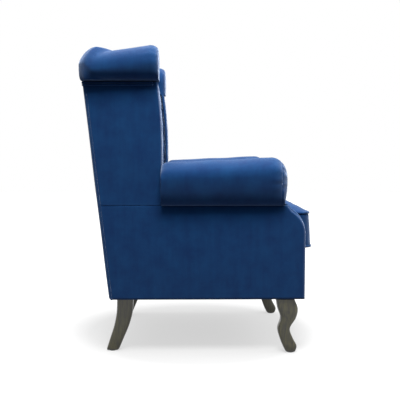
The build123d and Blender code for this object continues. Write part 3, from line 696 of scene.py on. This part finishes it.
# The back roll carries the section at the mitre across, with the other half of each corner's arc at its ends.
across = (1 - 2 * crowded(170))[:, None]
end_x, end_y, end_z = skin[-1].T
end_r, end_mitre_y = corner_r[-1], mitre_y[-1]
line_x = across * end_x
past = np.abs(line_x) - (roll_x[-1] - end_r)
swing = np.arcsin(np.clip(past / end_r, 0, np.sin(np.pi / 4)))
line_y = end_mitre_y - end_r * (1 - np.cos(swing))
back_skin = grid_of(line_x, line_y, end_z)
back_skin[[0, -1], :, 1] = end_y
back_slack, back_crease, sewn_l, still_h = 0.012, 0.15, 0.001, 0.002
to_end = (1 - np.abs(across)) * end_x
fold = mitre_fold - mitre_fold * np.exp(-((to_end / mitre_l) ** 2))
fold = fold + back_slack * slack(girth, back_skin[..., 0], back_crease) * (to_end > sewn_l)
fold = fold * smooth(to_end / ease_l) * (end_z > roll_z + still_h)
back_skin[..., 1] += (back_skin[..., 1] - core_y) * fold
back_skin[..., 2] += (back_skin[..., 2] - core_z) * fold
mirrored = mitre_middle * np.array([-1, 1, 1])
back_roll = piece_of("back_roll_cover", closed_to(mitre_middle, back_skin, mirrored))
dress(back_roll, velvet, "velvet", "chair", "back_roll")

# Double piping: two velvet-covered cords, sewn side by side over the seam under the rolls, from one wing's
# front round the back to the other.


def cord_along(path, radius, loop=False):
    """A round cord along a level path: circles square to it, drawn to a point at both ends, or joined up in a
    loop."""
    if loop:
        way = np.roll(path, -1, axis=0) - np.roll(path, 1, axis=0)
    else:
        way = np.gradient(path, axis=0)
    way = way / np.linalg.norm(way, axis=1, keepdims=True)
    beside = np.cross(way, np.array([0, 0, 1.0]))
    beside = beside / np.linalg.norm(beside, axis=1, keepdims=True)
    above = np.cross(beside, way)
    turn = np.linspace(0, 2 * np.pi, 15)[None, :, None]
    size = np.full((len(path), 1, 1), radius)
    if not loop:
        size[[0, -1]] = 0
    skin = path[:, None] + size * (np.cos(turn) * beside[:, None] + np.sin(turn) * above[:, None])
    return np.concatenate([skin, skin[:1]]) if loop else skin


cord_r, cord_x, cord_bend, cord_in, cord_back = 0.0038, 0.3330, 0.011, 0.014, 0.0015
straight_half, cord_gap = 0.318, 0.001
cords = []
for drop in (0.0065, 0.0140):
    cord_z = roll_z - drop
    rear = outside_y(cord_z) - cord_back
    corner = np.linspace(0, np.pi / 2, 12)
    bend_x = cord_x - cord_bend + cord_bend * np.cos(corner)
    bend = np.stack([bend_x, rear - cord_bend + cord_bend * np.sin(corner)], axis=-1)
    near_y = np.linspace(wing_edge(cord_z) + cord_in, rear - cord_bend - cord_gap, 70)
    near = np.stack([np.full(70, cord_x), near_y], axis=-1)
    half = np.concatenate([near, bend])
    straight_x = np.linspace(straight_half, -straight_half, 140)
    straight = np.stack([straight_x, np.full(140, rear)], axis=-1)
    plan = np.concatenate([half, straight, half[::-1] * np.array([-1, 1])])
    cords.append(cord_along(np.column_stack([plan, np.full(len(plan), cord_z)]), cord_r))
piping = piece_of("double_piping", *cords)
dress(piping, velvet, "velvet", "chair")

# Outer panels: velvet over thin padding on the sides, the wings and the outside back, blind-tacked along the
# top and sewn edge to edge. The back panel is wrapped 9 mm round the corners.
board_out, wrap = 0.318, 0.009
sides_r = {"front": 0.011, "rear": 0.005, "foot": 0.009}
wings_r = {"front": 0.006, "rear": 0.005, "top": 0.008}
side_panel_h, wing_panel_h, rear_panel_w, rear_panel_h = 0.326, 0.422, 0.66, 0.748
panel_swell, panel_slack, side_crease, wing_crease = 0.003, 0.0007, 0.12, 0.10


def sewn(distance):
    """Share of a panel's full height at a sewn edge: it dips by a fifth over 3 mm, then goes in."""
    return np.where(distance > 0, 0.8 + 0.2 * rolled(distance, 0.003), 0)


def outer_panel(y, z, swell, edge):
    """A panel over the boards of one side: a padded face, which its edge shares bring down, and its rear."""
    return grid_of(board_out + (pad_t + swell) * edge, y, z), grid_of(board_out, y, z)


u, v = np.meshgrid(crowded(170), crowded(90), indexing="ij")
side_z = frame_z + v * (seam_z - frame_z)
run = outside_y(side_z) - wrap - arm_front(side_z)
side_y = arm_front(side_z) + u * run
edge = rolled(u * run, sides_r["front"]) * rolled((1 - u) * run, sides_r["rear"])
edge = edge * rolled(v * side_panel_h, sides_r["foot"]) * sewn((1 - v) * side_panel_h)
swell = panel_swell * swollen(u, v) + panel_slack * slack(side_y, 0.5 * side_z, side_crease)
# Slight folds hang from the seam where the arm meets the wing.
hang_h, hang_l, hang_pitch, hang_before, hang_spread = 0.0012, 0.030, 0.024, 0.04, 0.05
near_wing = np.exp(-(((side_y - wing_y + hang_before) / hang_spread) ** 2))
swell = swell + hang_h * gathers(side_y, seam_z - side_z, hang_l, hang_pitch) * near_wing
side_panel = outer_panel(side_y, side_z, swell, edge)
u, v = np.meshgrid(crowded(90), crowded(110), indexing="ij")
panel_z = seam_z + v * (roll_z - seam_z)
run = outside_y(panel_z) - wrap - wing_edge(panel_z)
panel_y = wing_edge(panel_z) + u * run
edge = rolled(u * run, wings_r["front"]) * rolled((1 - u) * run, wings_r["rear"])
edge = edge * sewn(v * wing_panel_h) * rolled((1 - v) * wing_panel_h, wings_r["top"])
swell = panel_swell * swollen(u, v) + panel_slack * slack(panel_y, 0.5 * panel_z, wing_crease)
wing_panel = outer_panel(panel_y, panel_z, swell, edge)
for side, flip in sides:
    outer_side = piece_of(f"{side}_side_panel_cover", *[grid * flip for grid in side_panel])
    dress(outer_side, velvet, "velvet", "chair", f"{side}_side_panel")
    outer_wing = piece_of(f"{side}_wing_panel_cover", *[grid * flip for grid in wing_panel])
    dress(outer_wing, velvet, "velvet", "chair", f"{side}_wing_panel")
rear_t, rear_side_r, rear_edge_r = 0.0115, 0.012, 0.009
rear_swell, rear_slack, rear_crease = 0.004, 0.0008, 0.14
u, v = np.meshgrid(crowded(140), crowded(150), indexing="ij")
rear_x = panel_out * (2 * u - 1)
rear_z = frame_z + v * (roll_z - frame_z)
edge = rolled_sides(u, rear_panel_w, rear_side_r) * rolled_sides(v, rear_panel_h, rear_edge_r)
swell = rear_swell * swollen(u, v) + rear_slack * slack(rear_x, 0.5 * rear_z, rear_crease)
inner_y = outside_y(rear_z) - rear_t
outside_back = piece_of(
    "outside_back_cover",
    grid_of(rear_x, inner_y + (rear_t + swell) * edge, rear_z),
    grid_of(rear_x, inner_y, rear_z),
)
dress(outside_back, velvet, "velvet", "chair", "outside_back_panel")

# Facings: narrow padded strips on the front edges, scrolled under each arm and straight up each wing. They
# cover the tacks of the inside and the outer panels.


def facing_strip(edge_y, low, high):
    """A strip that follows an edge of the side view: it stands 12 mm square out of the edge, with rolled
    seams that keep 4 mm. It gives the face and the back."""
    swell_h, slack_h, crease, side_r, end_r, least = 0.0022, 0.0006, 0.06, 0.006, 0.008, 0.004
    u, v = np.meshgrid(crowded(40), crowded(110), indexing="ij")
    z = low + v * (high - low)
    x = roll_in + u * (board_out - roll_in)
    step = 0.001
    lean = (edge_y(z + step) - edge_y(z - step)) / (2 * step)
    square = np.hypot(1, lean)
    edge = rolled_sides(u, board_out - roll_in, side_r) * rolled_sides(v, high - low, end_r)
    stand = (pad_t + swell_h * np.sin(np.pi * u) + slack_h * slack(x, z, crease)) * edge
    stand = np.maximum(stand, least)
    base = edge_y(z) + pad_t
    return grid_of(x, base - stand / square, z + stand * lean / square), grid_of(x, base, z)


scroll_over = 0.003
for node, edge_y, low, high in (
    ("front_facing", arm_front, frame_z, seam_z + scroll_over),
    ("wing_facing", wing_edge, seam_z, roll_z),
):
    face, behind = facing_strip(edge_y, low, high)
    for side, flip in sides:
        strip = piece_of(f"{side}_{node}_strip", face * flip, behind * flip)
        dress(strip, velvet, "velvet", "chair", f"{side}_{node}")

# Seat cushion: a loose foam and feather cushion in a boxed velvet cover with welted edges. It lies on the
# platform between the arms and lifts out. Its cover is a cloth that a pressure fills out between its welts.


def as_modified(piece):
    """A new mesh of a piece with its modifiers applied."""
    return bpy.data.meshes.new_from_object(piece.evaluated_get(bpy.context.evaluated_depsgraph_get()))


def places_of(mesh):
    """A mesh's vertices as an array of points."""
    flat = np.empty(len(mesh.vertices) * 3)
    mesh.vertices.foreach_get("co", flat)
    return flat.reshape(-1, 3)


cushion_low, cushion_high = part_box("seat_cushion")
welt_h, cell, bottom_held, welt_held, pressure, steps = 0.127, 0.006, 0.009, 0.005, 4.0, 20
welt_z = cushion_low[2] + welt_h
ticking = bpy.data.objects.new("seat_cushion_cover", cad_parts["seat_cushion"].data.copy())
bpy.context.collection.objects.link(ticking)
ticking.modifiers.new("even mesh", "WELD").merge_threshold = 0.00001
even = ticking.modifiers.new("remesh", "REMESH")
even.mode, even.voxel_size = "VOXEL", cell
bpy.context.view_layer.update()
cover_mesh = as_modified(ticking)
ticking.modifiers.clear()
ticking.data = cover_mesh
rest = places_of(cover_mesh)
welts = ticking.vertex_groups.new(name="welts")
held = (rest[:, 2] < cushion_low[2] + bottom_held) | (np.abs(rest[:, 2] - welt_z) < welt_held)
welts.add(np.flatnonzero(held).tolist(), 1.0, "REPLACE")
stuffing = ticking.modifiers.new("stuffing", "CLOTH")
stuffing.settings.vertex_group_mass = "welts"
stuffing.settings.use_pressure = True
stuffing.settings.uniform_pressure_force = pressure
stuffing.settings.effector_weights.gravity = 0.0
for number in range(1, steps + 1):
    bpy.context.scene.frame_set(number)
filled = places_of(as_modified(ticking))
bpy.context.scene.frame_set(1)
ticking.modifiers.clear()
# The swelling is held to 16 mm, and the sides, the bottom and the rear keep to the space between the arms.
most, space_half, rear_over, crown_from = 0.016, 0.2515, 0.001, 0.006
crown_slack, crown_crease, crown_over = 0.0016, 0.15, 0.02
swell = filled - rest
reach = np.linalg.norm(swell, axis=1, keepdims=True)
shape = rest + swell * np.minimum(1, most / np.maximum(reach, 1e-9))
above = smooth((shape[:, 2] - welt_z) / crown_over)
shape[:, 2] += above * crown_slack * slack(shape[:, 0], shape[:, 1], crown_crease)
shape[:, 0] = np.clip(shape[:, 0], -space_half, space_half)
shape[:, 1] = np.minimum(shape[:, 1], cushion_high[1] + rear_over)
shape[:, 2] = np.maximum(shape[:, 2], cushion_low[2])
cover_mesh.vertices.foreach_set("co", shape.reshape(-1))
cover_mesh.update()
cover_mesh.shade_smooth()
crown = ticking.vertex_groups.new(name="crown")
crown.add(np.flatnonzero(rest[:, 2] > welt_z + crown_from).tolist(), 1.0, "REPLACE")
settled = ticking.modifiers.new("settled", "SMOOTH")
settled.vertex_group, settled.factor, settled.iterations = "crown", 0.5, 60
finer = ticking.modifiers.new("finer", "SUBSURF")
finer.levels = finer.render_levels = 1
dress(ticking, velvet, "velvet", "cushion", "seat_cushion")


def cushion_plan(half, front, rear, radius, bow):
    """Plan of a welt: four sides that bow inwards by a parabola, joined by quarter circles."""
    s = np.linspace(-1, 1, 60)
    dip = bow * (1 - s**2)
    middle, run, flat = (front + rear) / 2, (rear - front) / 2 - radius, half - radius
    turn = np.linspace(0, np.pi / 2, 14)[1:-1] + np.arange(4)[:, None] * np.pi / 2
    bends = radius * np.stack([np.cos(turn), np.sin(turn)], axis=-1)
    return np.concatenate([
        np.stack([half - dip, middle + s * run], axis=-1),
        bends[0] + (flat, middle + run),
        np.stack([-s * flat, rear - dip], axis=-1),
        bends[1] + (-flat, middle + run),
        np.stack([-half + dip, middle - s * run], axis=-1),
        bends[2] + (-flat, middle - run),
        np.stack([s * flat, front + dip], axis=-1),
        bends[3] + (flat, middle - run),
    ])


# The welts are velvet-covered cords in the cover's two seams. The upper one lies 8 mm further back in front.
welt_r, welt_half, welt_corner, welt_bow, welt_front, welt_rear = 0.0045, 0.2475, 0.032, 0.005, 0.0015, 0.002
upper_drop, upper_back, lower_rise = 0.002, 0.008, 0.0055
front, rear = cushion_low[1] + welt_front, cushion_high[1] - welt_rear
welt_cords = []
for cord_z, back in ((welt_z - upper_drop, upper_back), (cushion_low[2] + lower_rise, 0.0)):
    plan = cushion_plan(welt_half, front + back, rear, welt_corner, welt_bow)
    path = np.column_stack([plan, np.full(len(plan), cord_z)])
    welt_cords.append(cord_along(path, welt_r, loop=True))
cushion_welts = piece_of("seat_cushion_welts", *welt_cords)
dress(cushion_welts, velvet, "velvet", "cushion")

# Studio: a wide white floor that fades into a white surround, and three soft lamps: a large one above, one in
# front and one high on the camera's side. The floor also glows a faint blue that the camera does not see, a
# painted bounce light under the rolls.
# The camera stands square to the chair's right side, at two thirds of its height.


def seen_rays(tree):
    """1 for what the camera or a mirror sees, 0 for the light that goes on to other surfaces."""
    rays = add_node(tree, "ShaderNodeLightPath", {})
    either = {0: rays.outputs["Is Camera Ray"], 1: rays.outputs["Is Glossy Ray"]}
    return add_node(tree, "ShaderNodeMath", either, operation="MAXIMUM").outputs[0]


white = (1, 1, 1, 1)
floor_half, shade_from, shade_to, shade, painted_bounce_glow = 9, 0.42, 0.72, 0.62, 0.15
seen_tone, other_tone = 0.17, 0.06
corners = [(-floor_half, -floor_half, 0), (floor_half, -floor_half, 0)]
corners += [(floor_half, floor_half, 0), (-floor_half, floor_half, 0)]
floor_mesh = bpy.data.meshes.new("studio_floor")
floor_mesh.from_pydata(corners, [], [(0, 1, 2, 3)])
floor = bpy.data.objects.new("studio_floor", floor_mesh)
bpy.context.collection.objects.link(floor)
# White paper: matt. Where it is seen it glows up to white away from the chair, so that no edge shows.
paper, tree, shader, place = new_finish("white_paper", roughness=0.9, Specular_IOR_Level=0.0)
seen = seen_rays(tree)
# For the light that goes on to other surfaces the paper glows a faint pale blue: painted bounce light that
# lights the chair under the rolls.
glow = add_node(tree, "ShaderNodeMix", {0: seen, 6: linear("#95ccff"), 7: white}, data_type="RGBA")
tree.links.new(glow.outputs[2], shader.inputs["Emission Color"])
far = add_node(tree, "ShaderNodeVectorMath", {0: place}, operation="LENGTH").outputs["Value"]
fade = add_node(tree, "ShaderNodeMapRange", {0: far, 1: shade_from, 2: shade_to, 3: shade, 4: 1.0})
lift = add_node(tree, "ShaderNodeMapRange", {0: seen, 3: painted_bounce_glow, 4: fade.outputs[0]})
tree.links.new(lift.outputs[0], shader.inputs["Emission Strength"])
tone = add_node(tree, "ShaderNodeMapRange", {0: seen, 3: other_tone, 4: seen_tone})
tree.links.new(tone.outputs[0], shader.inputs["Base Color"])
floor_mesh.materials.append(paper)
# The surround is plain white to the eye, and lights the chair mostly from overhead.
sky_from, sky_low, sky_high = 0.25, 0.03, 2.0
world = bpy.data.worlds.new("white_surround")
bpy.context.scene.world = world
world.use_nodes = True
tree = world.node_tree
way = add_node(tree, "ShaderNodeTexCoord", {}).outputs["Generated"]
height = add_node(tree, "ShaderNodeSeparateXYZ", {0: way}).outputs["Z"]
above = add_node(tree, "ShaderNodeMapRange", {0: height, 1: sky_from, 2: 1.0, 3: sky_low, 4: sky_high})
level = add_node(tree, "ShaderNodeMapRange", {0: seen_rays(tree), 3: above.outputs[0], 4: 1.0})
sky = tree.nodes["Background"]
sky.inputs["Color"].default_value = white
tree.links.new(level.outputs[0], sky.inputs["Strength"])


def aimed(way):
    """Turn of a lamp or camera that looks along a way."""
    return mathutils.Vector(way).to_track_quat("-Z", "Y").to_euler()


for name, spot, aim, size, watts in (
    ("top_lamp", (0.2, 0.0, 2.9), (0, 0, 0.5), 1.6, 100),
    ("front_lamp", (-0.5, -2.4, 2.3), (0, 0, 0.6), 1.2, 34),
    ("side_lamp", (-1.7, -0.1, 3.1), (0, 0, 0.5), 1.0, 124),
):
    lamp = bpy.data.lights.new(name, "AREA")
    lamp.size, lamp.energy = size, watts
    stand = bpy.data.objects.new(name, lamp)
    stand.location = spot
    stand.rotation_euler = aimed(mathutils.Vector(aim) - mathutils.Vector(spot))
    bpy.context.collection.objects.link(stand)
view = bpy.data.cameras.new("camera")
view.lens, view.sensor_width = 60.92, 36.0
camera = bpy.data.objects.new("camera", view)
camera.location = (-2.629, 0.031, 0.702)
pitch, yaw = np.radians(4.06), np.radians(0.87)
look = (np.cos(pitch) * np.cos(yaw), -np.cos(pitch) * np.sin(yaw), -np.sin(pitch))
camera.rotation_euler = aimed(look)
bpy.context.collection.objects.link(camera)
bpy.context.scene.camera = camera
bpy.context.scene.view_settings.view_transform = "Standard"
